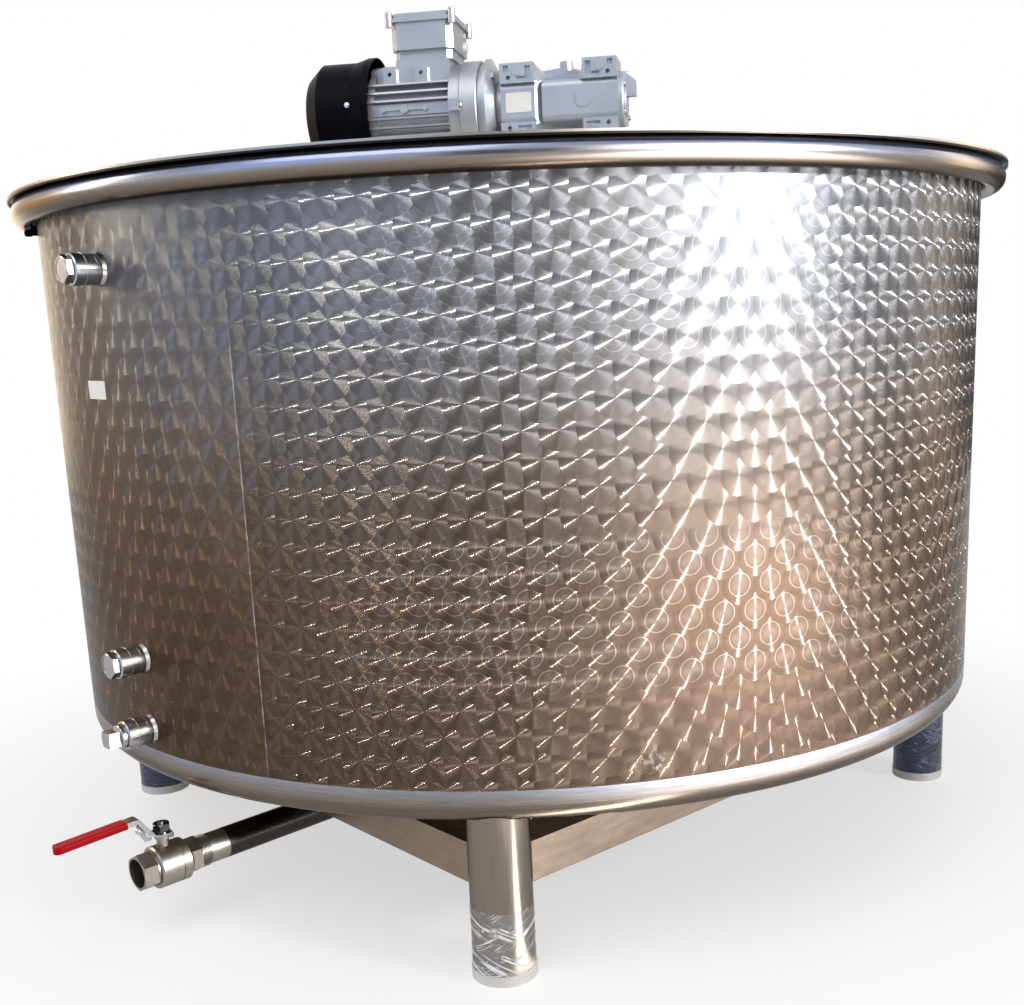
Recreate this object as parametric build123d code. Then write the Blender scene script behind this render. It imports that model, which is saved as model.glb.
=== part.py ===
import math
import os

from build123d import *

# Tank shell, in millimetres, with the floor at height zero and the tank axis on Z
tank_diameter = 1600.0
sheet_thickness = 2.5
bottom_weld_height = 289.0
wall_height = 806.0
seam_azimuth = 21.6
wall_sheets = 4
tank_radius = tank_diameter / 2
wall_top = bottom_weld_height + wall_height

# Tank bottom: a short straight band, a knuckle and a shallow cone to the drain
band_height = 21.0
knuckle_radius = 28.0
cone_angle = 5.9

# Rolled rim tube round the top of the wall
rim_tube_diameter = 38.0
rim_tube_wall = 2.5
rim_tube_rise = 8.0
rim_seat_depth = 1.5
rim_circle_radius = tank_radius + rim_tube_diameter / 2 - rim_seat_depth
rim_height = wall_top + rim_tube_rise - rim_tube_diameter / 2

# Flat lid in two leaves with a bridge between them
seat_gap = 0.3
lid_thickness = 3.0
lid_lip_height = 6.0
lid_overhang = 2.5
lid_joint_gap = 2.0
lid_radius = rim_circle_radius + rim_tube_diameter / 2 + lid_overhang
lid_bottom = wall_top + rim_tube_rise + seat_gap
lid_top = lid_bottom + lid_thickness
bridge_width = 184.0
bridge_depth = 80.0
bridge_web = 6.0
bridge_wall_gap = 6.0

# Drain: outlet, elbow and pipe under the tank, then nipple and ball valve
drain_azimuth = 3.6
pipe_diameter = 48.3
pipe_wall = 2.6
elbow_radius = 57.0
valve_projection = 47.0
valve_half_length = 47.0
valve_tail_length = 51.0
nipple_length = 68.0
nipple_diameter = 47.8
thread_depth = 18.0
valve_radius = tank_radius + valve_projection - valve_half_length

# Ball valve, lengths measured from its stem along the pipe
ball_radius = 28.5
port_radius = 19.0
ball_clearance = 0.5
running_gap = 0.3
valve_body_radius = 33.0
valve_liner_radius = 30.0
valve_joint = 14.5
valve_joint_groove = 1.2
valve_spigot = 8.0
valve_shoulder = 34.0
valve_shoulder_edge = 5.0
valve_hex = 50.6
valve_edge = 2.5
valve_collar_radius = 26.5
valve_collar_length = 3.0
outlet_thread_radius = 22.4
outlet_thread_length = 20.0
outlet_edge = 1.5
stem_radius = 6.0
stem_square = 8.4
tower_radius = 9.4
tower_top = 50.0
tower_collar_radius = 12.0
tower_collar_height = 6.0
tang_width = 6.0
slot_depth = 5.0
stop_angle = 135.0
stop_pin_radius = 3.0
stop_circle_radius = 13.5
stop_lug_reach = 17.0

# Lever of the valve: a strap with turned-down edges
lever_gap = 0.5
lever_sheet = 3.0
lever_edge = 8.0
lever_edge_sheet = 2.0
lever_width = 20.0
hub_radius = 16.8
lever_rise_start = 14.5
lever_rise_end = 39.0
lever_rise = 34.0
lever_length = 166.0
lever_droop = 5.0
grip_start = 58.0
grip_wall = 1.6
grip_gap = 0.2
grip_corner = 3.2
nut_hex = 24.0
nut_height = 10.5
nut_bevel = 2.0
nut_washer_radius = 13.0
nut_washer_height = 3.0
stem_thread_radius = 5.0
stem_rise = 2.5
latch_sheet = 2.5
latch_offset = 3.0
latch_eye_radius = 5.5
latch_hole_radius = 2.6
latch_eye = (37.0, 66.0)
latch_foot = (26.0, 46.0)
latch_width = 7.0

# Legs, feet and the beams between the legs
leg_diameter = 88.9
leg_wall = 3.0
leg_inset = 7.5
foot_height = 15.0
foot_edge = 2.0
foot_spigot = 25.0
beam_size = 60.0
beam_wall = 3.0
pipe_beam_gap = 7.0
leg_circle_radius = tank_radius - leg_inset - leg_diameter / 2
leg_offset = leg_circle_radius / math.sqrt(2)

# Ports: a welded socket with a screwed sleeve and a plug, in one column up the wall over the drain
port_azimuth = drain_azimuth
low_port_rise = 31.5
middle_port_rise = 140.0
top_port_drop = 111.0
port_heights = (bottom_weld_height + low_port_rise, bottom_weld_height + middle_port_rise,
                wall_top - top_port_drop)
socket_diameter = 42.0
socket_length = 44.0
socket_bore = 33.0
socket_root = 10.0
socket_weld_length = 5.0
socket_weld_rise = 2.0
socket_groove_start = 11.0
socket_groove_width = 1.2
socket_groove_depth = 1.0
sleeve_start = 24.4
sleeve_diameter = 43.6
sleeve_ring = 2.6
sleeve_ring_rise = 0.9
sleeve_edge = 1.8
plug_thread_length = 18.0
plug_neck_radius = 16.4
plug_neck_length = 2.0
plug_hex = 35.0
plug_hex_length = 9.0
plug_hex_turn = 8.0
plug_hex_edge = 2.2
plug_recess_radius = 15.0
plug_recess_depth = 0.8
plug_collar_radius = 18.0
plug_collar_length = 6.5
plug_square = 23.0
plug_square_length = 18.5
plug_square_edge = 1.5

# Drive: worm gearbox over the shaft, motor along its worm
drive_angle = 38.5
shaft_offset = 114.5
worm_offset = 86.0
case_half_height = 62.0
case_half_length = 97.0
wheel_case_radius = 84.0
wheel_cap_radius = 68.0
wheel_cap_step = 6.0
worm_case_depth = 57.0
worm_case_half_height = 34.0
worm_case_corner = 12.0
case_web_inset = 12.0
case_web_reach = 20.0
case_groove_start = 40.0
case_groove_width = 12.0
case_groove_depth = 12.0
lug_length = 56.5
lug_height = 31.5
lug_front = 62.0
lug_depth = 70.0
lug_flare = 38.0
lug_pocket_depth = 5.0
lug_square = 9.0
lug_square_inset = 6.5
lug_hole_radius = 3.6
lug_hole_inset = 14.5
lug_slot_width = 9.0
lug_slot_height = 21.0
lug_slot_inset = 5.0
lug_slot_foot = 14.0
lug_slot_foot_height = 5.0
lug_button_radius = 7.0
lug_button_depth = 1.5
output_cover_radius = 46.0
output_cover_foot = 40.0
output_cover_cone = 3.0
output_cover_rim = 2.0
output_hub_radius = 22.0
output_hub_height = 2.0
output_end_radius = 11.0
output_end_height = 3.0
fill_plug_radius = 11.0
fill_plug_top = 73.0
fill_plug_place = (3.0, -60.0)
end_cover_radius = 50.0
end_cover_length = 9.0
end_cover_edge = 2.0
end_cover_half_height = 44.0
end_boss_radius = 26.0
end_boss_length = 2.0
end_ear_reach = 26.0
end_ear_width = 16.0
end_ear_low = 7.0
end_ear_top = 45.0
end_ear_slope = 14.0
side_plug_radius = 12.5
side_plug_offset = 40.0
side_plug_rise = 1.8
pedestal_height = 75.0
pedestal_base_radius = 88.0
pedestal_top_radius = 80.0
pedestal_tube_radius = 66.0
pedestal_wall = 8.0
pedestal_plate = 10.0
pedestal_fillet = 4.0
pedestal_windows = 4
pedestal_window_width = 44.0
pedestal_window_margin = 6.0
shaft_diameter = 40.0
shaft_socket_depth = 60.0
shaft_end_height = 290.0
blade_reach = 260.0
blade_count = 3
blade_width = 90.0
blade_sheet = 6.0
blade_pitch = 45.0
blade_rise = 35.0
blade_hub_radius = 36.0
blade_hub_length = 50.0

# Motor, measured along the worm from the gearbox
neck_radius = 44.0
neck_length = 11.0
flange_radius = 81.0
flange_length = 27.0
flange_cone = 12.0
flange_rim = 6.0
flange_foot_radius = 60.0
flange_groove_radius = 73.0
shield_length = 48.0
shield_front_radius = 79.0
shield_back_radius = 76.0
shield_step = 30.0
shield_edge = 1.5
tie_lug_start = 3.0
tie_lug_length = 18.0
tie_lug_width = 18.0
tie_lug_reach = 86.0
tie_lug_hole_radius = 2.6
tie_lug_hole_inset = 4.0
frame_length = 138.0
frame_core_radius = 66.0
frame_end_ring = 10.0
frame_end_ring_radius = 74.0
fin_radius = 79.0
fin_thickness = 3.0
fin_pitch = 13.7
fin_count = 3
crown_half_width = 40.0
boss_pad_width = 18.0
boss_pad_radius = 71.0
boss_rib = 3.0
boss_rib_radius = 75.0
boss_places = (39.0, 75.0, 112.0)
boss_radii = (4.5, 7.0, 4.5)
boss_reach = 79.0
pad_places = (47.0, 101.0)
pad_length = 21.0
pad_inner = 34.0
pad_outer = 60.0
pad_low = 42.0
pad_high = 70.0
pad_hole_radius = 3.5
pad_hole_height = 58.0
pad_gusset = 12.0
arm_width = 16.0
arm_thickness = 12.0
arm_inner = 40.0
cowl_length = 114.0
cowl_radius = 90.0
cowl_flare = 6.0
cowl_flare_length = 33.0
cowl_mouth_length = 11.0
cowl_overlap = 4.0
cowl_sheet = 2.0
cowl_back_radius = 70.0
cowl_bevel = 23.0
cowl_slots = 12
cowl_slot_inner = 24.0
cowl_slot_outer = 56.0
cowl_slot_width = 5.0
box_place = 43.0
box_length = 104.0
box_width = 122.0
box_corner = 10.0
box_height = 43.0
box_neck_length = 96.0
box_neck_width = 104.0
box_neck_height = 15.0
box_neck_corner = 8.0
box_saddle = 40.0
gland_radius = 11.0
gland_length = 18.0
gland_offset = 20.0
box_lid_length = 113.0
box_lid_width = 131.0
box_lid_rim = 6.0
box_lid_height = 14.0
box_lid_step = 3.0
box_lid_corner = 9.0
box_ear_radius = 6.0
box_ear_inset = 3.0
box_ear_drop = 7.0
box_ear_rise = 1.5

pedestal_bottom = lid_top
drive_height = pedestal_bottom + pedestal_height + case_half_height


def polar(azimuth, radius, height):
    # Azimuth turns from the front of the tank, minus Y, towards plus X
    angle = math.radians(azimuth - 90.0)
    return Pos(radius * math.cos(angle), radius * math.sin(angle), height) * Rot(0, 0, azimuth - 90.0)


def bar_x(radius, start, end, y=0.0, z=0.0):
    return Pos((start + end) / 2, y, z) * Rot(0, 90, 0) * Cylinder(radius, end - start)


def bar_z(radius, low, high, x=0.0, y=0.0):
    return Pos(x, y, (low + high) / 2) * Cylinder(radius, high - low)


def block(x0, x1, y0, y1, z0, z1):
    return Pos((x0 + x1) / 2, (y0 + y1) / 2, (z0 + z1) / 2) * Box(x1 - x0, y1 - y0, z1 - z0)


def hex_x(across_flats, start, end):
    outline = RegularPolygon(across_flats / 2, 6, major_radius=False)
    return Pos(start, 0, 0) * Rot(0, 90, 0) * extrude(outline, end - start)


def turned_z(points, arc=360.0):
    profile = Plane.XZ * make_face(Polyline(*points, close=True))
    return revolve(profile, Axis.Z, arc)


def turned_x(points):
    profile = make_face(Polyline(*points, close=True))
    return revolve(profile, Axis.X)


# Tank bottom outline, outside face, from the weld to the middle
knuckle_centre = (tank_radius - knuckle_radius, bottom_weld_height - band_height)
cone_slope = math.tan(math.radians(cone_angle))


def knuckle_point(radius, turn):
    angle = math.radians(turn)
    across = knuckle_centre[0] + radius * math.cos(angle)
    return (across, knuckle_centre[1] - radius * math.sin(angle))


def cone_height(radius, inset=0.0):
    start = knuckle_point(knuckle_radius - inset, 90.0 - cone_angle)
    return start[1] - (start[0] - radius) * cone_slope


outlet_height = cone_height(0.0)
pipe_height = outlet_height - elbow_radius
beam_centre_height = pipe_height + pipe_diameter / 2 + pipe_beam_gap + beam_size / 2


def bottom_profile(outer_gap, inset, hole):
    outer = knuckle_radius + outer_gap
    inner = knuckle_radius - inset
    turn = 90.0 - cone_angle
    edge = knuckle_centre[0]
    low = (hole, cone_height(hole, -outer_gap))
    high = (hole, cone_height(hole, inset))
    lines = [
        Line((edge + outer, bottom_weld_height), (edge + outer, knuckle_centre[1])),
        ThreePointArc(knuckle_point(outer, 0), knuckle_point(outer, turn / 2), knuckle_point(outer, turn)),
        Line(knuckle_point(outer, turn), low),
        Line(low, high),
        Line(high, knuckle_point(inner, turn)),
        ThreePointArc(knuckle_point(inner, turn), knuckle_point(inner, turn / 2), knuckle_point(inner, 0)),
        Line((edge + inner, knuckle_centre[1]), (edge + inner, bottom_weld_height)),
        Line((edge + inner, bottom_weld_height), (edge + outer, bottom_weld_height)),
    ]
    return Plane.XZ * make_face(Wire(lines))


def tank_bottom():
    hole = pipe_diameter / 2 + seat_gap
    return revolve(bottom_profile(0.0, sheet_thickness, hole), Axis.Z)


def below_bottom():
    # The space under the tank bottom, to cut the leg tops to its shape
    reach = knuckle_centre[0] + knuckle_radius + seat_gap
    turn = 90.0 - cone_angle
    outer = knuckle_radius + seat_gap
    lines = [
        Line((0, cone_height(0.0, -seat_gap)), knuckle_point(outer, turn)),
        ThreePointArc(knuckle_point(outer, turn), knuckle_point(outer, turn / 2), knuckle_point(outer, 0)),
        Line((reach, knuckle_centre[1]), (reach, 0)),
        Line((reach, 0), (0, 0)),
        Line((0, 0), (0, cone_height(0.0, -seat_gap))),
    ]
    return revolve(Plane.XZ * make_face(Wire(lines)), Axis.Z)


def wall_sheet(start):
    inner = tank_radius - sheet_thickness
    height = wall_top - bottom_weld_height
    face = Plane.XZ * Pos((inner + tank_radius) / 2, bottom_weld_height + height / 2)
    face = face * Rectangle(sheet_thickness, height)
    sheet = Rot(0, 0, start - 90.0) * revolve(face, Axis.Z, 360.0 / wall_sheets)
    for height in port_heights:
        hole = Pos(tank_radius, 0, 0) * Rot(0, 90, 0) * Cylinder(socket_bore / 2, 4 * sheet_thickness)
        sheet = sheet - polar(port_azimuth, 0, height) * hole
    return sheet


def rim_piece(start):
    tube = Circle(rim_tube_diameter / 2) - Circle(rim_tube_diameter / 2 - rim_tube_wall)
    seat = Pos(-rim_tube_diameter + rim_seat_depth, 0) * Rectangle(rim_tube_diameter, rim_tube_diameter)
    section = Plane.XZ * Pos(rim_circle_radius, rim_height) * (tube - seat)
    return Rot(0, 0, start - 90.0) * revolve(section, Axis.Z, 360.0 / wall_sheets)


def lid_disc():
    lip = lid_bottom + lid_thickness - lid_lip_height
    points = [
        (0, lid_bottom), (lid_radius - lid_thickness, lid_bottom), (lid_radius - lid_thickness, lip),
        (lid_radius, lip), (lid_radius, lid_top), (0, lid_top),
    ]
    return turned_z(points)


def lid_leaf(side):
    inner = bridge_width / 2 + lid_joint_gap
    far = lid_radius + 10.0
    y0, y1 = sorted((side * inner, side * far))
    keep = block(-far, far, y0, y1, lid_bottom - lid_lip_height, lid_top + 1.0)
    return Rot(0, 0, drive_angle) * (lid_disc() & keep)


def bridge():
    # Sheet strip flush with the lid, stiffened by a channel that hangs inside the wall
    half = bridge_width / 2
    far = lid_radius + 10.0
    strip = lid_disc() & block(-far, far, -half, half, lid_bottom - lid_lip_height, lid_top + 1.0)
    inner = tank_radius - sheet_thickness - bridge_wall_gap
    reach = math.sqrt(inner ** 2 - half ** 2)
    channel = block(-reach, reach, -half, half, lid_bottom - bridge_depth, lid_bottom)
    hollow = block(
        -reach - 1, reach + 1, -half + bridge_web, half - bridge_web,
        lid_bottom - bridge_depth - 1, lid_bottom,
    )
    beam = strip + (channel - hollow)
    hole = bar_z(shaft_diameter, lid_bottom - 1, lid_top + 1, shaft_offset)
    return Rot(0, 0, drive_angle) * (beam - hole)


def leg_axis(index):
    azimuth = 45.0 + 90.0 * index
    return polar(azimuth, leg_circle_radius, 0)


def leg(index):
    tall = bottom_weld_height
    tube = bar_z(leg_diameter / 2, foot_height, tall) - bar_z(leg_diameter / 2 - leg_wall, foot_height, tall)
    return (leg_axis(index) * tube) & below_bottom()


def foot(index):
    cap = bar_z(leg_diameter / 2 + foot_edge, 0, foot_height)
    spigot = bar_z(leg_diameter / 2 - leg_wall - seat_gap, foot_height, foot_height + foot_spigot)
    return leg_axis(index) * (cap + spigot)


def beam(index):
    # Square tube between two legs, its ends coped to their round sides
    half = beam_size / 2
    bore = half - beam_wall
    tube = block(-leg_offset, leg_offset, -half, half, -half, half)
    tube = tube - block(-leg_offset - 1, leg_offset + 1, -bore, bore, -bore, bore)
    cope = leg_diameter / 2 + seat_gap
    for end in (-leg_offset, leg_offset):
        tube = tube - bar_z(cope, -beam_size, beam_size, end)
    return Rot(0, 0, 90.0 * index) * Pos(0, -leg_offset, beam_centre_height) * tube


def pipe_run(radius):
    end = valve_radius - valve_tail_length + thread_depth - nipple_length
    top = cone_height(pipe_diameter / 2, sheet_thickness)
    bend = pipe_height + elbow_radius
    stub = bar_z(radius, bend, top)
    pivot = Axis((elbow_radius, 0, bend), (0, -1, 0))
    elbow = revolve(Plane.XY.offset(bend) * Circle(radius), pivot, 90.0)
    straight = bar_x(radius, elbow_radius, end, 0, pipe_height)
    return stub + elbow + straight


def drain():
    outer = pipe_run(pipe_diameter / 2)
    inner = pipe_run(pipe_diameter / 2 - pipe_wall)
    return Rot(0, 0, drain_azimuth - 90.0) * (outer - inner)


def nipple():
    end = valve_radius - valve_tail_length + thread_depth
    start = end - nipple_length
    tube = bar_x(nipple_diameter / 2, start, end) - bar_x(port_radius, start, end)
    return polar(drain_azimuth, 0, pipe_height) * tube


def valve_place():
    return polar(drain_azimuth, valve_radius, pipe_height)


def ball_space():
    return Sphere(ball_radius + ball_clearance)


def valve_body():
    half = valve_half_length
    hex_start = half - outlet_thread_length - valve_collar_length
    collar = hex_start - valve_collar_length
    r = valve_body_radius
    barrel = turned_x([
        (-valve_joint, 0), (-valve_joint, r), (collar - valve_edge, r), (collar, r - valve_edge),
        (collar, valve_collar_radius), (hex_start, valve_collar_radius), (hex_start, 0),
    ])
    mouth = hex_x(valve_hex, hex_start, half) & turned_x([
        (hex_start, 0), (hex_start, r), (half - outlet_edge * 2, r), (half, valve_hex / 2), (half, 0),
    ])
    body = barrel + mouth + bar_z(tower_radius, 0, tower_top)
    body = body + bar_z(tower_collar_radius, tower_top - tower_collar_height, tower_top)
    lug_low = tower_top - tower_collar_height
    lug = block(0, stop_lug_reach, -stop_pin_radius, stop_pin_radius, lug_low, tower_top)
    body = body + Rot(0, 0, stop_angle) * lug
    body = body + bar_z(stop_pin_radius, tower_top - 1.0, tower_top + lever_gap + lever_sheet - running_gap,
                        *stop_pin_place())
    body = body - ball_space() - bar_x(valve_liner_radius, -valve_joint, -valve_spigot + running_gap)
    body = body - bar_x(port_radius, 0, half)
    body = body - bar_x(outlet_thread_radius, half - outlet_thread_length, half)
    body = body - bar_z(stem_radius + running_gap, 0, tower_top)
    return valve_place() * body


def stop_pin_place():
    angle = math.radians(stop_angle)
    return (stop_circle_radius * math.cos(angle), stop_circle_radius * math.sin(angle))


def valve_end():
    # Screwed end of the body on the pipe side, its spigot inside the barrel
    tail = valve_tail_length
    joint = valve_joint + running_gap
    r = valve_body_radius
    groove = joint + valve_joint_groove
    body = turned_x([
        (-joint, 0), (-joint, r - valve_joint_groove), (-groove, r - valve_joint_groove), (-groove, r),
        (-valve_shoulder + valve_shoulder_edge, r), (-valve_shoulder, r - valve_shoulder_edge),
        (-valve_shoulder, 0),
    ])
    body = body + hex_x(valve_hex, -tail, -valve_shoulder)
    body = body + bar_x(valve_liner_radius - running_gap, -joint, -valve_spigot)
    body = body - ball_space() - bar_x(port_radius, -tail, 0)
    body = body - bar_x(nipple_diameter / 2 + running_gap, -tail, -tail + thread_depth + 1.0)
    return valve_place() * body


def valve_ball():
    ball = Sphere(ball_radius) - bar_x(port_radius, -ball_radius, ball_radius)
    slot = block(-ball_radius, ball_radius, -tang_width / 2 - running_gap, tang_width / 2 + running_gap,
                 ball_radius - slot_depth, ball_radius + 1)
    return valve_place() * (ball - slot)


def valve_stem():
    low = ball_radius - slot_depth + running_gap
    tang = block(-stem_radius, stem_radius, -tang_width / 2, tang_width / 2, low, ball_radius + 1)
    tang = tang & bar_z(stem_radius, low, ball_radius + 1)
    square_top = tower_top + lever_gap + lever_sheet
    half = stem_square / 2
    stem = tang + bar_z(stem_radius, ball_radius + 0.8, tower_top)
    stem = stem + block(-half, half, -half, half, tower_top, square_top)
    end = square_top + nut_washer_height + nut_height + stem_rise
    stem = stem + bar_z(stem_thread_radius, square_top, end)
    return valve_place() * stem


def lever_side(sheet, start):
    # Side view of the strap, sheet thick below its top face, from start to its tip
    top = tower_top + lever_gap + lever_sheet
    high = top + lever_rise
    tip = high - lever_droop
    slant = lever_rise / (lever_rise_end - lever_rise_start)
    shift = sheet / math.sqrt(1 + 1 / slant ** 2) / 2
    upper = [(start, top), (lever_rise_start, top), (lever_rise_end, high), (lever_length, tip)]
    lower = [(lever_length, tip - sheet), (lever_rise_end + shift, high - sheet),
             (lever_rise_start + shift, top - sheet), (start, top - sheet)]
    return extrude(Plane.XZ * make_face(Polyline(*upper, *lower, close=True)), 2 * hub_radius, both=True)


def strap_outline(start, end, width):
    # Plan of the strap with a round tip
    half = width / 2
    straight = Pos((start + end - half) / 2, 0) * Rectangle(end - half - start, width)
    return straight + Pos(end - half, 0) * Circle(half)


def latch():
    # Locking tab under the slope of the strap, with an eye for a padlock
    eye_x, eye_z = latch_eye
    foot_x, foot_z = latch_foot
    half = latch_width / 2
    bar = make_face(Polyline(
        (eye_x - half, eye_z), (eye_x + half, eye_z), (foot_x + half, foot_z), (foot_x - 2 * half, foot_z),
        (foot_x - 2 * half, foot_z + half), (foot_x - half, foot_z + half), close=True))
    tab = bar + Pos(eye_x, eye_z) * Circle(latch_eye_radius)
    rise = tower_top + lever_gap + lever_sheet + lever_rise - eye_z
    tab = tab + Pos(eye_x, eye_z + rise / 2) * Rectangle(latch_width, rise)
    tab = tab - Pos(eye_x, eye_z) * Circle(latch_hole_radius)
    plate = Plane.XZ * tab
    return Pos(0, latch_offset, 0) * extrude(plate, latch_sheet)


def lever():
    low = tower_top + lever_gap
    edge_start = lever_rise_start + lever_edge
    plan = Circle(hub_radius) + strap_outline(0, lever_length, lever_width)
    inner_plan = strap_outline(0, lever_length - lever_edge_sheet, lever_width - 2 * lever_edge_sheet)
    tall = lever_rise + 4 * lever_edge
    strap = lever_side(lever_sheet, -hub_radius) & extrude(Pos(0, 0, low - 2 * lever_edge) * plan, tall)
    rim_plan = strap_outline(0, lever_length, lever_width) - inner_plan
    rim = extrude(Pos(0, 0, low - 2 * lever_edge) * rim_plan, tall)
    rim = rim & block(edge_start, lever_length, -lever_width, lever_width, low - lever_edge, low + tall)
    strap = strap + (lever_side(lever_edge, 0) & rim)
    strap = strap + (latch() - lever_above())
    half = stem_square / 2 + running_gap
    strap = strap - block(-half, half, -half, half, low - 1, low + lever_sheet + 1)
    spread = math.degrees(math.asin((stop_pin_radius + 0.6) / stop_circle_radius))
    inner = stop_circle_radius - stop_pin_radius - 0.7
    notch = Pos((inner + hub_radius + 1) / 2, low + lever_sheet / 2)
    notch = notch * Rectangle(hub_radius + 1 - inner, 3 * lever_sheet)
    sweep_back = revolve(Plane.XZ * notch, Axis.Z, 90.0 + 2 * spread)
    strap = strap - Rot(0, 0, stop_angle - spread) * sweep_back
    return valve_place() * strap


def lever_above():
    # Everything over the top face of the strap, to trim what is joined to its underside
    top = tower_top + lever_gap + lever_sheet
    high = top + lever_rise
    tip = high - lever_droop
    far = high + 4 * lever_edge
    points = [(-hub_radius, top), (lever_rise_start, top), (lever_rise_end, high), (lever_length, tip),
              (lever_length, far), (-hub_radius, far)]
    return extrude(Plane.XZ * make_face(Polyline(*points, close=True)), 2 * hub_radius, both=True)


def grip():
    # Soft sleeve dipped over the end of the strap
    slope = math.degrees(math.atan(lever_droop / (lever_length - lever_rise_end)))
    end = lever_length + grip_wall
    length = (end - grip_start) / math.cos(math.radians(slope))
    middle = tower_top + lever_gap + lever_sheet + lever_rise - lever_edge / 2
    middle = middle - math.tan(math.radians(slope)) * (grip_start - lever_rise_end)
    outline = RectangleRounded(lever_width + 2 * grip_wall, lever_edge + 2 * grip_wall, grip_corner)
    place = Pos(grip_start, 0, middle) * Rot(0, slope, 0) * Rot(0, 90, 0) * Rot(0, 0, 90)
    sleeve = place * extrude(outline, length)
    low = tower_top
    tall = 2 * lever_rise
    plan = strap_outline(0, end, lever_width + 2 * grip_wall)
    sleeve = sleeve & extrude(Pos(0, 0, low) * plan, tall)
    pocket = place * extrude(Rectangle(lever_width + 2 * grip_gap, lever_edge + 2 * grip_gap), length)
    plan = strap_outline(0, lever_length + grip_gap, lever_width + 2 * grip_gap)
    pocket = pocket & extrude(Pos(0, 0, low) * plan, tall)
    return valve_place() * (sleeve - pocket)


def lever_nut():
    low = tower_top + lever_gap + lever_sheet
    shoulder = low + nut_washer_height
    outline = RegularPolygon(nut_hex / 2, 6, major_radius=False)
    nut = Pos(0, 0, shoulder) * extrude(outline, nut_height)
    edge = nut_hex / 2
    top = shoulder + nut_height
    nut = nut & turned_z([(0, shoulder), (edge + nut_bevel, shoulder), (edge + nut_bevel, top - nut_bevel),
                          (edge, top), (0, top)])
    nut = nut + bar_z(nut_washer_radius, low, low + nut_washer_height / 2)
    nut = nut + bar_z(nut_washer_radius - 1.0, low, shoulder)
    nut = nut - bar_z(stem_thread_radius + 0.2, low, shoulder + nut_height)
    return valve_place() * nut


def sockets():
    parts = []
    r = socket_diameter / 2
    weld = r + socket_weld_rise
    bore = socket_bore / 2
    sleeve = sleeve_diameter / 2
    ring = sleeve_start + sleeve_ring
    groove = socket_groove_start
    groove_end = groove + socket_groove_width
    tube = turned_x([
        (-socket_root, bore), (-socket_root, weld), (0.0, weld), (socket_weld_length, r),
        (groove, r), (groove, r - socket_groove_depth), (groove_end, r - socket_groove_depth),
        (groove_end, r),
        (sleeve_start, r), (sleeve_start, sleeve),
        (sleeve_start + sleeve_ring_rise, sleeve + sleeve_ring_rise), (ring, sleeve + sleeve_ring_rise),
        (ring, sleeve), (socket_length - sleeve_edge, sleeve),
        (socket_length, sleeve - sleeve_edge), (socket_length, bore),
    ])
    wall = bar_z(tank_radius, bottom_weld_height, wall_top)
    for height in port_heights:
        parts.append(polar(port_azimuth, tank_radius, height) * tube - wall)
    return Compound(children=parts)


def hex_head(start):
    # Flat hexagon with a bevelled front and a shallow round recess
    end = start + plug_hex_length
    corner = plug_hex / math.sqrt(3)
    bevel = turned_x([
        (start, 0), (start, corner + 1), (end - plug_hex_edge, corner + 1),
        (end, plug_hex / 2 - 1), (end, 0),
    ])
    head = Rot(plug_hex_turn, 0, 0) * hex_x(plug_hex, start, end) & bevel
    return head - bar_x(plug_recess_radius, end - plug_recess_depth, end)


def square_head(start):
    # Round collar with a square head in front of it
    front = start + plug_collar_length
    end = front + plug_square_length
    collar = turned_x([
        (start, 0), (start, plug_collar_radius), (front - 1.0, plug_collar_radius),
        (front, plug_collar_radius - 1.0), (front, 0),
    ])
    half = plug_square / 2
    reach = half * math.sqrt(2)
    bevel = turned_x([
        (front, 0), (front, reach + 1), (end - plug_square_edge, reach + 1), (end, half + 1), (end, 0),
    ])
    return collar + (block(front, end, -half, half, -half, half) & bevel)


def port_plug(index):
    face = socket_length
    plug = bar_x(socket_bore / 2 - seat_gap, face - plug_thread_length, face)
    plug = plug + bar_x(plug_neck_radius, face, face + plug_neck_length)
    head = face + plug_neck_length
    plug = plug + (square_head(head) if index == 0 else hex_head(head))
    return polar(port_azimuth, tank_radius, port_heights[index]) * plug


def plugs():
    return Compound(children=[port_plug(index) for index in range(len(port_heights))])


def drive_place():
    return Rot(0, 0, drive_angle) * Pos(shaft_offset, 0, drive_height)


def worm_place():
    return drive_place() * Pos(0, -worm_offset, 0)


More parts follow.
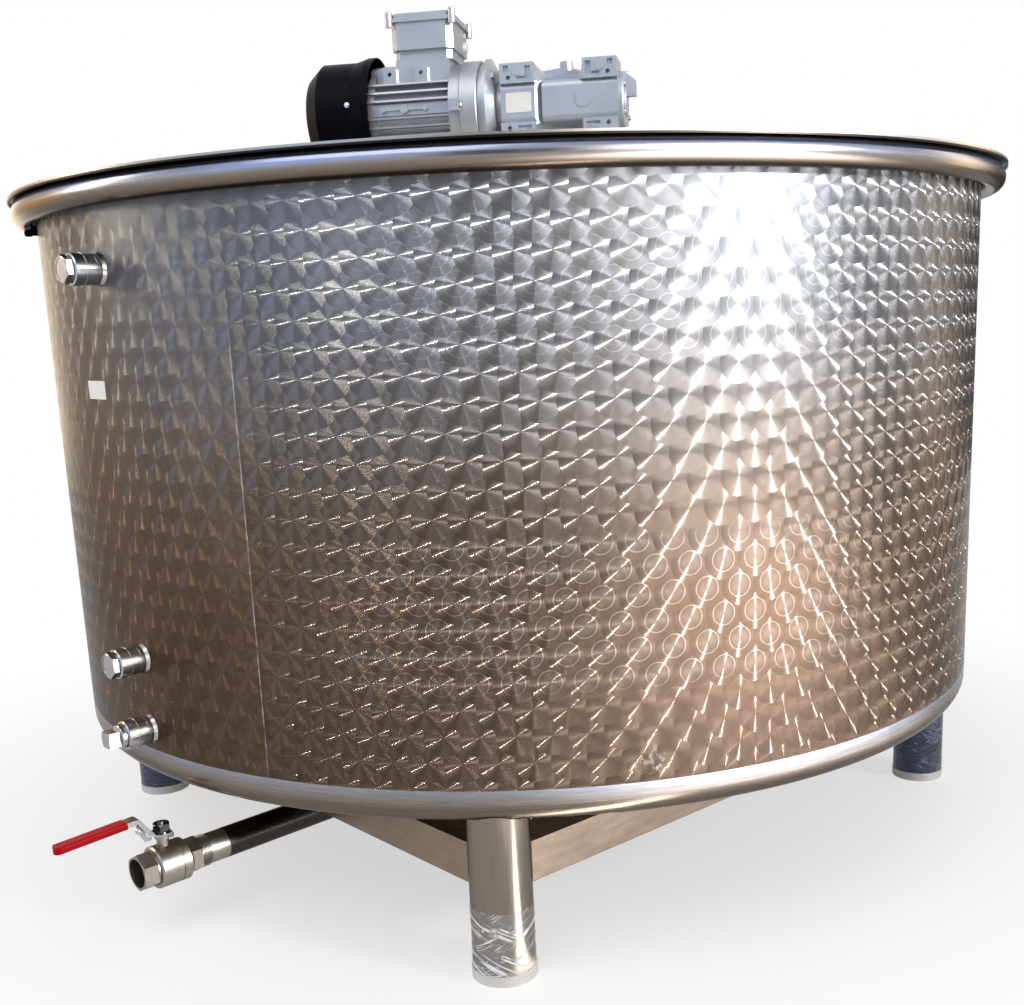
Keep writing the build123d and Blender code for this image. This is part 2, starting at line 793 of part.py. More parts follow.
def corner_lug(side, level):
    # Foot block on the worm side, its inner cheek sloping back to the middle, its face pocketed
    front = -worm_offset - lug_front
    outer = side * case_half_length
    inner = side * (case_half_length - lug_length)
    back = front + lug_depth
    edge = level * case_half_height
    root = level * (case_half_height - lug_height)
    wide = inner - side * lug_flare
    face = make_face(Polyline((outer, front, edge), (inner, front, edge), (inner, front, root),
                              (outer, front, root), close=True))
    foot = make_face(Polyline((outer, back, edge), (inner, back, edge), (wide, back, root),
                              (outer, back, root), close=True))
    solid = loft([face, foot], ruled=True)
    middle = (edge + root) / 2
    sink = lug_pocket_depth

    def pocket(inset, width, z0, z1, far_side):
        edge = outer - side * inset if far_side else inner + side * inset
        other = edge - side * width if far_side else edge + side * width
        z0, z1 = sorted((middle + level * z0, middle + level * z1))
        return block(min(edge, other), max(edge, other), front - 1, front + sink, z0, z1)

    cuts = pocket(lug_square_inset, lug_square, 3.0, 3.0 + lug_square, True)
    hole = Pos(outer - side * lug_hole_inset, front, middle - level * 7.0) * Rot(90, 0, 0)
    cuts = cuts + hole * Cylinder(lug_hole_radius, 4 * sink)
    half = lug_slot_height / 2
    cuts = cuts + pocket(lug_slot_inset, lug_slot_width, -half, half, False)
    foot = lug_slot_foot_height - half
    cuts = cuts + pocket(lug_slot_inset, lug_slot_width + lug_slot_foot, -half, foot, False)
    button = Pos((outer + inner) / 2, front, middle + level * 2.0) * Rot(90, 0, 0)
    return solid - cuts + button * Cylinder(lug_button_radius, 2 * lug_button_depth)


def gear_housing():
    length = case_half_length
    body = bar_z(wheel_case_radius, -case_half_height + wheel_cap_step, case_half_height - wheel_cap_step)
    body = body + bar_z(wheel_cap_radius, -case_half_height, case_half_height)
    section = RectangleRounded(2 * worm_case_half_height, 2 * worm_case_depth, worm_case_corner)
    body = body + Pos(-length, -worm_offset, 0) * Rot(0, 90, 0) * extrude(section, 2 * length)
    web = case_half_height - case_web_inset
    body = body + block(-length, length, -worm_offset, -case_web_reach, -web, web)
    for side in (-1, 1):
        for level in (-1, 1):
            body = body + corner_lug(side, level)
    front = -worm_offset - worm_case_depth
    start = -case_groove_start
    end = start + case_groove_width
    deep = front + case_groove_depth
    outline = Polyline((start, front - 1), (start, front), (end, deep), (end, front - 1), close=True)
    groove = extrude(make_face(outline), worm_case_half_height, both=True)
    body = body - groove
    body = body + bar_z(fill_plug_radius, 0, fill_plug_top, *fill_plug_place)
    bore = bar_z(shaft_diameter / 2 + seat_gap, -case_half_height, -case_half_height + shaft_socket_depth)
    return drive_place() * (body - bore)


def output_cover():
    base = case_half_height
    cone = base + output_cover_cone
    rim = cone + output_cover_rim
    hub = rim + output_hub_height
    end = hub + output_end_height
    points = [(0, base), (output_cover_foot, base), (output_cover_radius, cone), (output_cover_radius, rim),
              (output_hub_radius, rim), (output_hub_radius, hub), (output_end_radius, hub),
              (output_end_radius, end), (0, end)]
    return drive_place() * turned_z(points)


def end_cover():
    # Round bearing cover at the free end of the worm, with a small cast ear
    start = case_half_length
    front = start + end_cover_length
    face = front + end_boss_length
    cover = turned_x([
        (start, 0), (start, end_cover_radius), (front - end_cover_edge, end_cover_radius),
        (front, end_cover_radius - end_cover_edge), (front, end_boss_radius),
        (face, end_boss_radius - end_cover_edge), (face, 0),
    ])
    limit = block(start, face, -end_cover_radius, end_cover_radius,
                  -end_cover_half_height, end_cover_half_height)
    reach = start + end_ear_reach
    outline = Polyline((start, end_ear_low), (reach, end_ear_low), (reach, end_ear_top - end_ear_slope),
                       (front, end_ear_top), (start, end_ear_top), close=True)
    ear = extrude(Plane.XZ * make_face(outline), end_ear_width / 2, both=True)
    return worm_place() * ((cover & limit) + ear)


def side_plug():
    front = -worm_case_depth
    plug = Pos(side_plug_offset, front - side_plug_rise / 2, 0) * Rot(90, 0, 0)
    plug = plug * Cylinder(side_plug_radius, side_plug_rise)
    return worm_place() * plug


def motor_flange():
    # Input flange of the gearbox with its neck, and the groove before the motor
    start = -case_half_length
    neck = start - neck_length
    rim = neck - flange_cone
    groove = rim - flange_rim
    end = neck - flange_length
    r = flange_radius
    points = [(start, 0), (start, neck_radius), (neck, neck_radius), (neck, flange_foot_radius), (rim, r),
              (groove, r), (groove, flange_groove_radius), (end, flange_groove_radius), (end, 0)]
    return worm_place() * turned_x(points)


def shield_start():
    return -case_half_length - neck_length - flange_length


def end_shield():
    start = shield_start()
    step = start - shield_step
    end = start - shield_length
    front = shield_front_radius
    back = shield_back_radius
    edge = shield_edge
    points = [(start, 0), (start, front - edge), (start - edge, front), (step + edge, front),
              (step, front - edge), (step, back), (end, back), (end, 0)]
    shield = turned_x(points)
    half = tie_lug_width / 2
    near = end + tie_lug_start
    far = near + tie_lug_length
    lug = block(near, far, 0, tie_lug_reach, -half, half)
    hole = bar_x(tie_lug_hole_radius, near, far, tie_lug_reach - tie_lug_hole_inset)
    for turn in (0.0, 180.0, 270.0):
        shield = shield + Rot(turn, 0, 0) * (lug - hole)
    return worm_place() * shield


def frame_start():
    return shield_start() - shield_length


def frame_fins(end, start):
    # Level fins on both sides and upright fins below
    half = fin_thickness / 2
    fins = None
    for step in range(-fin_count, fin_count + 1):
        if step == 0:
            continue
        level = step * fin_pitch
        fin = block(end, start, -fin_radius, fin_radius, level - half, level + half)
        rib = block(end, start, level - half, level + half, -fin_radius, 0)
        fins = fin + rib if fins is None else fins + fin + rib
    return fins & bar_x(fin_radius, end, start)


def boss_row(start, side):
    # Flat pad between the middle fins with three bosses on a rib
    half = boss_pad_width / 2
    y0, y1 = sorted((0, side * boss_pad_radius))
    row = block(start - frame_length, start, y0, y1, -half, half)
    y0, y1 = sorted((0, side * boss_rib_radius))
    row = row + block(start - boss_places[-1], start - boss_places[0], y0, y1, -boss_rib / 2, boss_rib / 2)
    for distance, radius in zip(boss_places, boss_radii):
        boss = Rot(90, 0, 0) * Cylinder(radius, boss_reach)
        row = row + Pos(start - distance, side * boss_reach / 2, 0) * boss
    return row


def foot_pad(x, side):
    # Drilled pad for a screwed-on foot, with a sloping gusset
    y0, y1 = sorted((side * pad_inner, side * pad_outer))
    half = pad_length / 2
    pad = block(x - half, x + half, y0, y1, pad_low, pad_high)
    drill = Cylinder(pad_hole_radius, pad_outer - pad_inner)
    hole = Pos(x, side * pad_outer, pad_hole_height) * Rot(90, 0, 0) * drill
    inner = side * pad_inner
    outer = side * (pad_outer - 2.0)
    plan = [(x + half, inner), (x + half + pad_gusset, inner), (x + half, outer)]
    gusset = Pos(0, 0, pad_low) * extrude(make_face(Polyline(*plan, close=True)), pad_high - pad_low - 4.0)
    return pad - hole + gusset


def motor_frame():
    start = frame_start()
    end = start - frame_length
    frame = bar_x(frame_core_radius, end, start) + frame_fins(end, start)
    frame = frame + bar_x(frame_end_ring_radius, end, end + frame_end_ring)
    for side in (-1, 1):
        frame = frame + boss_row(start, side)
    frame = frame + (bar_x(fin_radius, end, start) & block(end, start, -crown_half_width, crown_half_width,
                                                           box_saddle, fin_radius))
    bell = cowl_start() - cowl_flare_length - running_gap
    frame = frame + bar_x(frame_core_radius - 4.0, bell - arm_thickness, end)
    reach = cowl_radius - cowl_sheet - seat_gap
    half = arm_width / 2
    limit = bar_x(reach, bell - arm_thickness, bell)
    for turn in range(4):
        arm = block(bell - arm_thickness, bell, arm_inner, reach, -half, half) & limit
        frame = frame + Rot(90.0 * turn, 0, 0) * arm
    half_length = box_neck_length / 2
    middle = start - box_place
    half_width = box_neck_width / 2
    frame = frame + block(middle - half_length, start, -half_width, half_width, box_saddle, box_base())
    for distance in pad_places:
        for side in (-1, 1):
            frame = frame + foot_pad(start - distance, side)
    return worm_place() * frame


def cowl_start():
    return frame_start() - frame_length + cowl_overlap


def fan_cowl():
    start = cowl_start()
    mouth = start - cowl_mouth_length
    neck = start - cowl_flare_length
    end = start - cowl_length
    r = cowl_radius
    t = cowl_sheet
    wide = r + cowl_flare
    bevel = end + cowl_bevel
    points = [
        (end, 0), (end, cowl_back_radius), (bevel, r), (neck, r), (mouth, wide), (start, wide),
        (start, wide - t), (mouth, wide - t), (neck, r - t), (bevel + t / 2, r - t),
        (end + t, cowl_back_radius - t / 2), (end + t, 0),
    ]
    shell = turned_x(points)
    half = cowl_slot_width / 2
    slot = block(end - 1, end + t + 1, cowl_slot_inner, cowl_slot_outer, -half, half)
    for index in range(cowl_slots):
        shell = shell - Rot(360.0 * index / cowl_slots, 0, 0) * slot
    return worm_place() * shell


def terminal_place():
    return worm_place() * Pos(frame_start() - box_place, 0, 0)


def box_base():
    return fin_radius + seat_gap


def chamfered_block(length, width, corner, low, height):
    solid = Pos(0, 0, low + height / 2) * Box(length, width, height)
    return chamfer(solid.edges().filter_by(Axis.Z), corner)


def terminal_box():
    low = box_base()
    case_low = low + box_neck_height
    neck = chamfered_block(box_neck_length, box_neck_width, box_neck_corner, low, box_neck_height)
    case = chamfered_block(box_length, box_width, box_corner, case_low, box_height)
    gland = Pos(gland_offset, box_width / 2 + gland_length / 2 - 1, case_low + box_height / 2) * Rot(90, 0, 0)
    return terminal_place() * (neck + case + gland * Cylinder(gland_radius, gland_length))


def terminal_lid():
    low = box_base() + box_neck_height + box_height
    step = 2 * box_lid_step
    lid = chamfered_block(box_lid_length, box_lid_width, box_lid_corner, low, box_lid_rim)
    upper = chamfered_block(box_lid_length - step, box_lid_width - step, box_lid_corner,
                            low + box_lid_rim, box_lid_height - box_lid_rim)
    lid = lid + chamfer(upper.edges().group_by(Axis.Z)[-1], box_lid_step)
    along = box_lid_length / 2 - box_ear_inset
    across = box_lid_width / 2 - box_ear_inset
    high = low + box_lid_height + box_ear_rise
    for x in (-along, along):
        for y in (-across, across):
            lid = lid + bar_z(box_ear_radius, low - box_ear_drop, high, x, y)
    return terminal_place() * lid


def pedestal():
    plate = pedestal_plate
    top = pedestal_bottom + pedestal_height
    low = pedestal_bottom
    r = pedestal_tube_radius
    f = pedestal_fillet
    inner = r - pedestal_wall
    under = low + plate
    over = top - plate
    points = [(inner, low), (pedestal_base_radius, low), (pedestal_base_radius, under), (r + f, under),
              (r, under + f), (r, over - f), (r + f, over), (pedestal_top_radius, over),
              (pedestal_top_radius, top), (inner, top)]
    body = turned_z(points)
    half = pedestal_window_width / 2
    margin = plate + pedestal_window_margin
    window = block(0, pedestal_base_radius, -half, half, low + margin, top - margin)
    for index in range(pedestal_windows):
        body = body - Rot(0, 0, 45.0 + 360.0 * index / pedestal_windows) * window
    return Rot(0, 0, drive_angle) * Pos(shaft_offset, 0, 0) * body


def stirrer_shaft():
    top = pedestal_bottom + pedestal_height + shaft_socket_depth - 1.0
    return Rot(0, 0, drive_angle) * bar_z(shaft_diameter / 2, shaft_end_height, top, shaft_offset)


def stirrer_blades():
    bore = shaft_diameter / 2 + seat_gap
    hub = bar_z(blade_hub_radius, -blade_hub_length / 2, blade_hub_length / 2)
    for index in range(blade_count):
        blade = Box(blade_reach, blade_width, blade_sheet)
        arm = Pos(blade_reach / 2, 0, 0) * Rot(blade_pitch, 0, 0) * blade
        hub = hub + Rot(0, 0, 360.0 * index / blade_count) * arm
    hub = hub - bar_z(bore, -blade_width, blade_width)
    return Rot(0, 0, drive_angle) * Pos(shaft_offset, 0, shaft_end_height + blade_rise) * hub


wall_names = ("wall_sheet_front", "wall_sheet_right", "wall_sheet_back", "wall_sheet_left")
rim_names = ("rim_front", "rim_right", "rim_back", "rim_left")
leg_names = ("leg_front_right", "leg_back_right", "leg_back_left", "leg_front_left")
beam_names = ("beam_front", "beam_right", "beam_back", "beam_left")

pieces = {}
for number in range(wall_sheets):
    first = seam_azimuth - 90.0 + number * 360.0 / wall_sheets
    pieces[wall_names[number]] = wall_sheet(first)
    pieces[rim_names[number]] = rim_piece(first)
for number in range(4):
    pieces[leg_names[number]] = leg(number)
    pieces[beam_names[number]] = beam(number)
pieces["leg_feet"] = Compound(children=[foot(number) for number in range(4)])
pieces["tank_bottom"] = tank_bottom()
pieces["lid_front_leaf"] = lid_leaf(-1)
pieces["lid_back_leaf"] = lid_leaf(1)
pieces["lid_bridge"] = bridge()
pieces["port_sockets"] = sockets()
pieces["port_plugs"] = plugs()
pieces["drain_pipe"] = drain()
pieces["drain_nipple"] = nipple()
pieces["valve_body"] = valve_body()
pieces["valve_end"] = valve_end()
pieces["valve_ball"] = valve_ball()
pieces["valve_stem"] = valve_stem()
pieces["valve_lever"] = lever()
pieces["lever_grip"] = grip()
pieces["lever_nut"] = lever_nut()
pieces["drive_pedestal"] = pedestal()
pieces["gear_housing"] = gear_housing()
pieces["gear_output_cover"] = output_cover()
pieces["gear_end_cover"] = end_cover()
pieces["gear_side_plug"] = side_plug()
pieces["motor_flange"] = motor_flange()
pieces["motor_end_shield"] = end_shield()
pieces["motor_frame"] = motor_frame()
pieces["fan_cowl"] = fan_cowl()
pieces["terminal_box"] = terminal_box()
pieces["terminal_lid"] = terminal_lid()
pieces["stirrer_shaft"] = stirrer_shaft()
pieces["stirrer_blades"] = stirrer_blades()

os.makedirs("parts", exist_ok=True)
for name, solid in pieces.items():
    export_step(solid, f"parts/{name}.step")
print(len(pieces), "pieces written")
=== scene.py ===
import math
import random

import bmesh
import bpy
from mathutils import Matrix, Vector


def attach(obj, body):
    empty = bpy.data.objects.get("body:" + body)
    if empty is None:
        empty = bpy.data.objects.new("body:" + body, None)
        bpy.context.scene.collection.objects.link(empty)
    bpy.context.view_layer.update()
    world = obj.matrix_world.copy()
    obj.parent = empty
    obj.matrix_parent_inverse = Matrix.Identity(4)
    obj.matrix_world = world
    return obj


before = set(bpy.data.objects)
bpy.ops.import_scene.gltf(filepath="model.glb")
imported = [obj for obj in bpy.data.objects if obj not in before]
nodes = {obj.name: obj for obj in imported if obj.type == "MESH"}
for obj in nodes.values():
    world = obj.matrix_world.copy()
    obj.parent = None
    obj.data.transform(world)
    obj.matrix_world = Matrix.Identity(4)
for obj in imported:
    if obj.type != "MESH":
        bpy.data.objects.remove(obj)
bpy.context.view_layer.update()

sceneSet = bpy.context.scene
sceneSet.view_settings.view_transform = "Standard"


class Wire:
    # A shader socket that can stand in a sum, and a method that adds any other node
    def __init__(self, tree, socket=None):
        self.tree = tree
        self.socket = socket

    def node(self, kind, settings=None, inputs=None, out=0):
        made = self.tree.nodes.new(kind)
        for name, value in (settings or {}).items():
            if name == "stops":
                fillRamp(made.color_ramp, value)
            else:
                setattr(made, name, value)
        for name, value in (inputs or {}).items():
            if isinstance(value, Wire):
                self.tree.links.new(value.socket, made.inputs[name])
            else:
                made.inputs[name].default_value = value
        return Wire(self.tree, made.outputs[out] if len(made.outputs) else None)

    def math(self, operation, *values, clamp=False):
        settings = {"operation": operation, "use_clamp": clamp}
        return self.node("ShaderNodeMath", settings, dict(enumerate(values)))

    def __add__(self, other):
        return self.math("ADD", self, other)

    __radd__ = __add__

    def __sub__(self, other):
        return self.math("SUBTRACT", self, other)

    def __rsub__(self, other):
        return self.math("SUBTRACT", other, self)

    def __mul__(self, other):
        return self.math("MULTIPLY", self, other)

    __rmul__ = __mul__

    def __truediv__(self, other):
        return self.math("DIVIDE", self, other)

    def __rtruediv__(self, other):
        return self.math("DIVIDE", other, self)

    def __neg__(self):
        return self.math("MULTIPLY", self, -1.0)

    def __abs__(self):
        return self.math("ABSOLUTE", self)

    def below(self, level):
        return self.math("LESS_THAN", self, level)

    def ramp(self, low, high):
        # 0 below low, 1 above high, smooth between
        inputs = {"Value": self, "From Min": low, "From Max": high}
        return self.node("ShaderNodeMapRange", {"interpolation_type": "SMOOTHSTEP"}, inputs)

    def mix(self, low, high):
        # This value as the factor between two colours
        return self.node("ShaderNodeMix", {"data_type": "RGBA"}, {0: self, 6: low, 7: high}, 2)

    def choose(self, low, high):
        # This value as the factor between two numbers
        return self.node("ShaderNodeMix", {"data_type": "FLOAT"}, {0: self, 2: low, 3: high})

    def tint(self, colour, share=1.0):
        # This colour multiplied by another
        settings = {"data_type": "RGBA", "blend_type": "MULTIPLY"}
        return self.node("ShaderNodeMix", settings, {0: share, 6: self, 7: colour}, 2)

    def grey(self):
        # This value as a grey colour
        return self.node("ShaderNodeCombineColor", {}, {0: self, 1: self, 2: self})

    def vector(self, operation, *values):
        return self.node("ShaderNodeVectorMath", {"operation": operation}, dict(enumerate(values)))

    def scaled(self, factor):
        return self.node("ShaderNodeVectorMath", {"operation": "SCALE"}, {0: self, "Scale": factor})

    def part(self, axis):
        return self.node("ShaderNodeSeparateXYZ", {}, {0: self}, axis)

    def joined(self, x, y, z):
        return self.node("ShaderNodeCombineXYZ", {}, {0: x, 1: y, 2: z})

    def noise(self, place, scale, detail=2.0, rough=0.5):
        inputs = {"Vector": place, "Scale": scale, "Detail": detail, "Roughness": rough}
        return self.node("ShaderNodeTexNoise", {"noise_dimensions": "3D"}, inputs)

    def bump(self, height, strength, distance):
        inputs = {"Height": height, "Strength": strength, "Distance": distance}
        return self.node("ShaderNodeBump", {}, inputs)


def fillRamp(ramp, stops):
    while len(ramp.elements) < len(stops):
        ramp.elements.new(0.5)
    for element, (place, colour) in zip(ramp.elements, stops):
        element.position = place
        element.color = colour


def tone(red, green, blue):
    # A colour as it looks on a screen, 0 to 255, in the linear values that shaders use
    def linear(value):
        share = value / 255
        return share / 12.92 if share < 0.04045 else ((share + 0.055) / 1.055) ** 2.4
    return (linear(red), linear(green), linear(blue), 1.0)


def startFinish(name):
    material = bpy.data.materials.new(name)
    material.use_nodes = True
    material.node_tree.nodes.clear()
    return material, Wire(material.node_tree)


def closeFinish(material, wire, sockets):
    shader = wire.node("ShaderNodeBsdfPrincipled", {}, sockets)
    wire.node("ShaderNodeOutputMaterial", {}, {"Surface": shader})
    return material


def place(wire):
    # The point on the part at rest, in metres
    return wire.node("ShaderNodeTexCoord", {}, {}, "Object")


print("frame loaded", len(nodes), "pieces")

# Camera and light

cameraSet = {
    "turn": 49.04,  # degrees from the front of the tank to the camera, seen from above
    "distance": 2.3628,  # from the tank's axis
    "height": 0.8976,
    "down": 12.66,  # degrees
    "roll": 2.27,
    "yaw": 0.58,
    "focalPixels": 1258.53,
    "middle": (539.57, 599.2),  # where the lens axis meets the image, in pixels
    "image": (1024, 1005),
}


def makeCamera(values):
    yaw, down, roll = (math.radians(values[name]) for name in ("yaw", "down", "roll"))
    forward = Vector((math.sin(yaw) * math.cos(down), math.cos(yaw) * math.cos(down), -math.sin(down)))
    right = Vector((math.cos(yaw), -math.sin(yaw), 0))
    lower = forward.cross(right)
    rolledRight = math.cos(roll) * right + math.sin(roll) * lower
    rolledLower = -math.sin(roll) * right + math.cos(roll) * lower
    turn = Matrix.Rotation(math.radians(values["turn"]), 3, "Z")
    axes = Matrix((turn @ rolledRight, turn @ -rolledLower, turn @ -forward)).transposed()
    spot = turn @ Vector((0, -values["distance"], values["height"]))
    data = bpy.data.cameras.new("camera")
    data.sensor_fit = "HORIZONTAL"
    data.sensor_width = 36.0
    wide, tall = values["image"]
    data.lens = values["focalPixels"] * data.sensor_width / wide
    data.shift_x = -(values["middle"][0] - wide / 2) / wide
    data.shift_y = (values["middle"][1] - tall / 2) / wide
    data.clip_end = 100.0
    camera = bpy.data.objects.new("camera", data)
    camera.matrix_world = Matrix.Translation(spot) @ axes.to_4x4()
    sceneSet.collection.objects.link(camera)
    sceneSet.camera = camera


# Each lamp: width and height in metres, power in watts, bearing from the camera's side of the tank
# in degrees, distance from the tank's axis, height, and the height that it points at
lampSet = {
    "keyLamp": {"size": (0.9, 0.9), "power": 150.0, "bearing": 54.0, "away": 7.0, "height": 3.6,
                "aim": 0.9, "colour": (1.0, 0.98, 0.95)},
    "glintLamp": {"size": (1.9, 1.9), "power": 27000.0, "bearing": 54.3, "away": 30.0, "height": 8.0,
                  "aim": 0.7, "colour": (0.9, 0.96, 1.0), "glossOnly": True},
    "softTop": {"size": (4.0, 4.0), "power": 130.0, "bearing": -30.0, "away": 3.5, "height": 5.0,
                "aim": 0.8, "colour": (0.97, 0.98, 1.0)},
}
# Cards that only reflections see, with soft edges: glow is their brightness, and a flat one lies
# face up, turned by its spin
cardSet = {
    "sunGlow": {"size": (5.8, 4.8), "bearing": 40.0, "away": 6.0, "height": 2.6,
                "colour": (255, 243, 222), "glow": 7.5, "soft": 0.3},
    "floorGlow": {"size": (5.4, 3.4), "bearing": 43.0, "away": 3.5, "height": 0.02,
                  "colour": (250, 249, 250), "glow": 18.0, "soft": 0.25, "spin": 0.0},
    "skyLeft": {"size": (6.6, 3.6), "bearing": -42.0, "away": 6.2, "height": 3.0,
                "colour": (176, 206, 255), "glow": 1.9, "soft": 0.5},
    "midDark": {"size": (3.3, 3.4), "bearing": 0.0, "away": 5.9, "height": 2.0,
                "colour": (58, 62, 72), "glow": 1.0, "soft": 0.6},
    "leftEdge": {"size": (1.7, 3.4), "bearing": -141.0, "away": 5.0, "height": 1.7,
                 "colour": (255, 234, 204), "glow": 3.3, "soft": 0.7},
    "leftBeige": {"size": (2.6, 3.0), "bearing": -117.0, "away": 5.1, "height": 1.2,
                  "colour": (232, 190, 140), "glow": 2.0, "soft": 0.7},
    "leftLine": {"size": (0.8, 3.2), "bearing": -94.0, "away": 5.0, "height": 2.6,
                 "colour": (255, 240, 214), "glow": 26.0, "soft": 0.4},
    "legShine": {"size": (0.7, 0.08), "bearing": 12.5, "away": 0.96, "height": 0.015,
                 "colour": (255, 250, 242), "glow": 26.0, "soft": 0.3, "spin": 41.5},
    "rightBeige": {"size": (1.5, 4.0), "bearing": 109.0, "away": 5.0, "height": 1.6,
                   "colour": (255, 232, 200), "glow": 4.5, "soft": 0.8},
    "leftDark": {"size": (1.6, 3.4), "bearing": -156.0, "away": 5.2, "height": 0.9,
                 "colour": (42, 44, 48), "glow": 1.0, "soft": 0.8},
    "rightDark": {"size": (2.8, 4.0), "bearing": 136.0, "away": 5.2, "height": 1.2,
                  "colour": (40, 44, 54), "glow": 1.0, "soft": 0.85},
}


def bearingAngle(bearing):
    # A bearing from the camera's side as an angle from the X axis
    return math.radians(cameraSet["turn"] + bearing - 90)


def aimed(bearing, away, height, aim):
    # Place at a bearing from the camera's side, turned to face the tank's axis
    angle = bearingAngle(bearing)
    spot = Vector((away * math.cos(angle), away * math.sin(angle), height))
    look = Vector((0, 0, aim)) - spot
    return Matrix.Translation(spot) @ look.to_track_quat("-Z", "Y").to_matrix().to_4x4()


def sheetObject(name, wide, tall, material):
    # One face, wide along X and tall along Y
    mesh = bpy.data.meshes.new(name)
    corners = [(x * wide / 2, y * tall / 2, 0) for x, y in ((-1, -1), (1, -1), (1, 1), (-1, 1))]
    mesh.from_pydata(corners, [], [(0, 1, 2, 3)])
    mesh.materials.append(material)
    sheet = bpy.data.objects.new(name, mesh)
    sceneSet.collection.objects.link(sheet)
    return sheet


def makeLamps():
    for name, values in lampSet.items():
        data = bpy.data.lights.new(name, "AREA")
        data.shape = "RECTANGLE"
        data.size, data.size_y = values["size"]
        data.energy = values["power"]
        data.color = values["colour"]
        lamp = bpy.data.objects.new(name, data)
        lamp.matrix_world = aimed(values["bearing"], values["away"], values["height"], values["aim"])
        lamp.visible_camera = False
        lamp.visible_diffuse = not values.get("glossOnly", False)
        sceneSet.collection.objects.link(lamp)


def makeCards():
    for name, values in cardSet.items():
        wide, tall = values["size"]
        material, wire = startFinish(name)
        point = place(wire)
        mask = abs(point.part(0) * (2 / wide)).ramp(1.0, values["soft"])
        mask = mask * abs(point.part(1) * (2 / tall)).ramp(1.0, values["soft"])
        clear = wire.node("ShaderNodeBsdfTransparent")
        glow = {"Color": tone(*values["colour"]), "Strength": values["glow"]}
        lit = wire.node("ShaderNodeEmission", {}, glow)
        surface = wire.node("ShaderNodeMixShader", {}, {0: mask, 1: clear, 2: lit})
        wire.node("ShaderNodeOutputMaterial", {}, {"Surface": surface})
        card = sheetObject(name, wide, tall, material)
        stand = aimed(values["bearing"], values["away"], values["height"], values["height"])
        if "spin" in values:
            angle = bearingAngle(values["bearing"] + values["spin"])
            stand = Matrix.Translation(stand.translation) @ Matrix.Rotation(angle, 4, "Z")
        card.matrix_world = stand
        card.visible_camera = False
        card.visible_shadow = False
        card.visible_diffuse = False


worldSet = {"light": 0.55, "background": 1.0}
# The floor turns from shadow keeping to plain white between the near and the far radius
floorSet = {"colour": tone(250, 250, 250), "size": 28.0, "near": 0.7, "far": 1.75, "lift": 0.6,
            "rough": 0.8}


def seenBy(wire, *kinds):
    # 1 for the kinds of rays that should see the plain background
    total = sum(wire.node("ShaderNodeLightPath", {}, {}, kind) for kind in kinds)
    return wire.math("MINIMUM", total, 1.0)


def makeWorld():
    world = bpy.data.worlds.new("studio")
    world.use_nodes = True
    world.node_tree.nodes.clear()
    wire = Wire(world.node_tree)
    seen = seenBy(wire, "Is Camera Ray", "Is Glossy Ray", "Is Transmission Ray")
    strength = seen.choose(worldSet["light"], worldSet["background"])
    background = wire.node("ShaderNodeBackground", {}, {"Color": (1, 1, 1, 1), "Strength": strength})
    wire.node("ShaderNodeOutputWorld", {}, {"Surface": background})
    sceneSet.world = world


def makeFloor():
    # Pale floor that keeps the shadow near the tank and fades to plain white further out
    material, wire = startFinish("floor")
    out = wire.node("ShaderNodeVectorMath", {"operation": "LENGTH"}, {0: place(wire)}, "Value")
    far = out.ramp(floorSet["near"], floorSet["far"]).choose(floorSet["lift"], 1.0)
    plain = wire.node("ShaderNodeBsdfPrincipled", {}, {
        "Base Color": floorSet["colour"], "Roughness": floorSet["rough"], "Specular IOR Level": 0.0})
    glow = wire.node("ShaderNodeEmission", {}, {"Color": (1, 1, 1, 1), "Strength": 1.0})
    seen = seenBy(wire, "Is Camera Ray", "Is Glossy Ray")
    surface = wire.node("ShaderNodeMixShader", {}, {0: far * seen, 1: plain, 2: glow})
    wire.node("ShaderNodeOutputMaterial", {}, {"Surface": surface})
    sheetObject("floor", floorSet["size"], floorSet["size"], material)


makeCamera(cameraSet)
makeLamps()
makeCards()
makeWorld()
makeFloor()
print("camera and light ready")

# Wall of the tank, polished in overlapping round spots

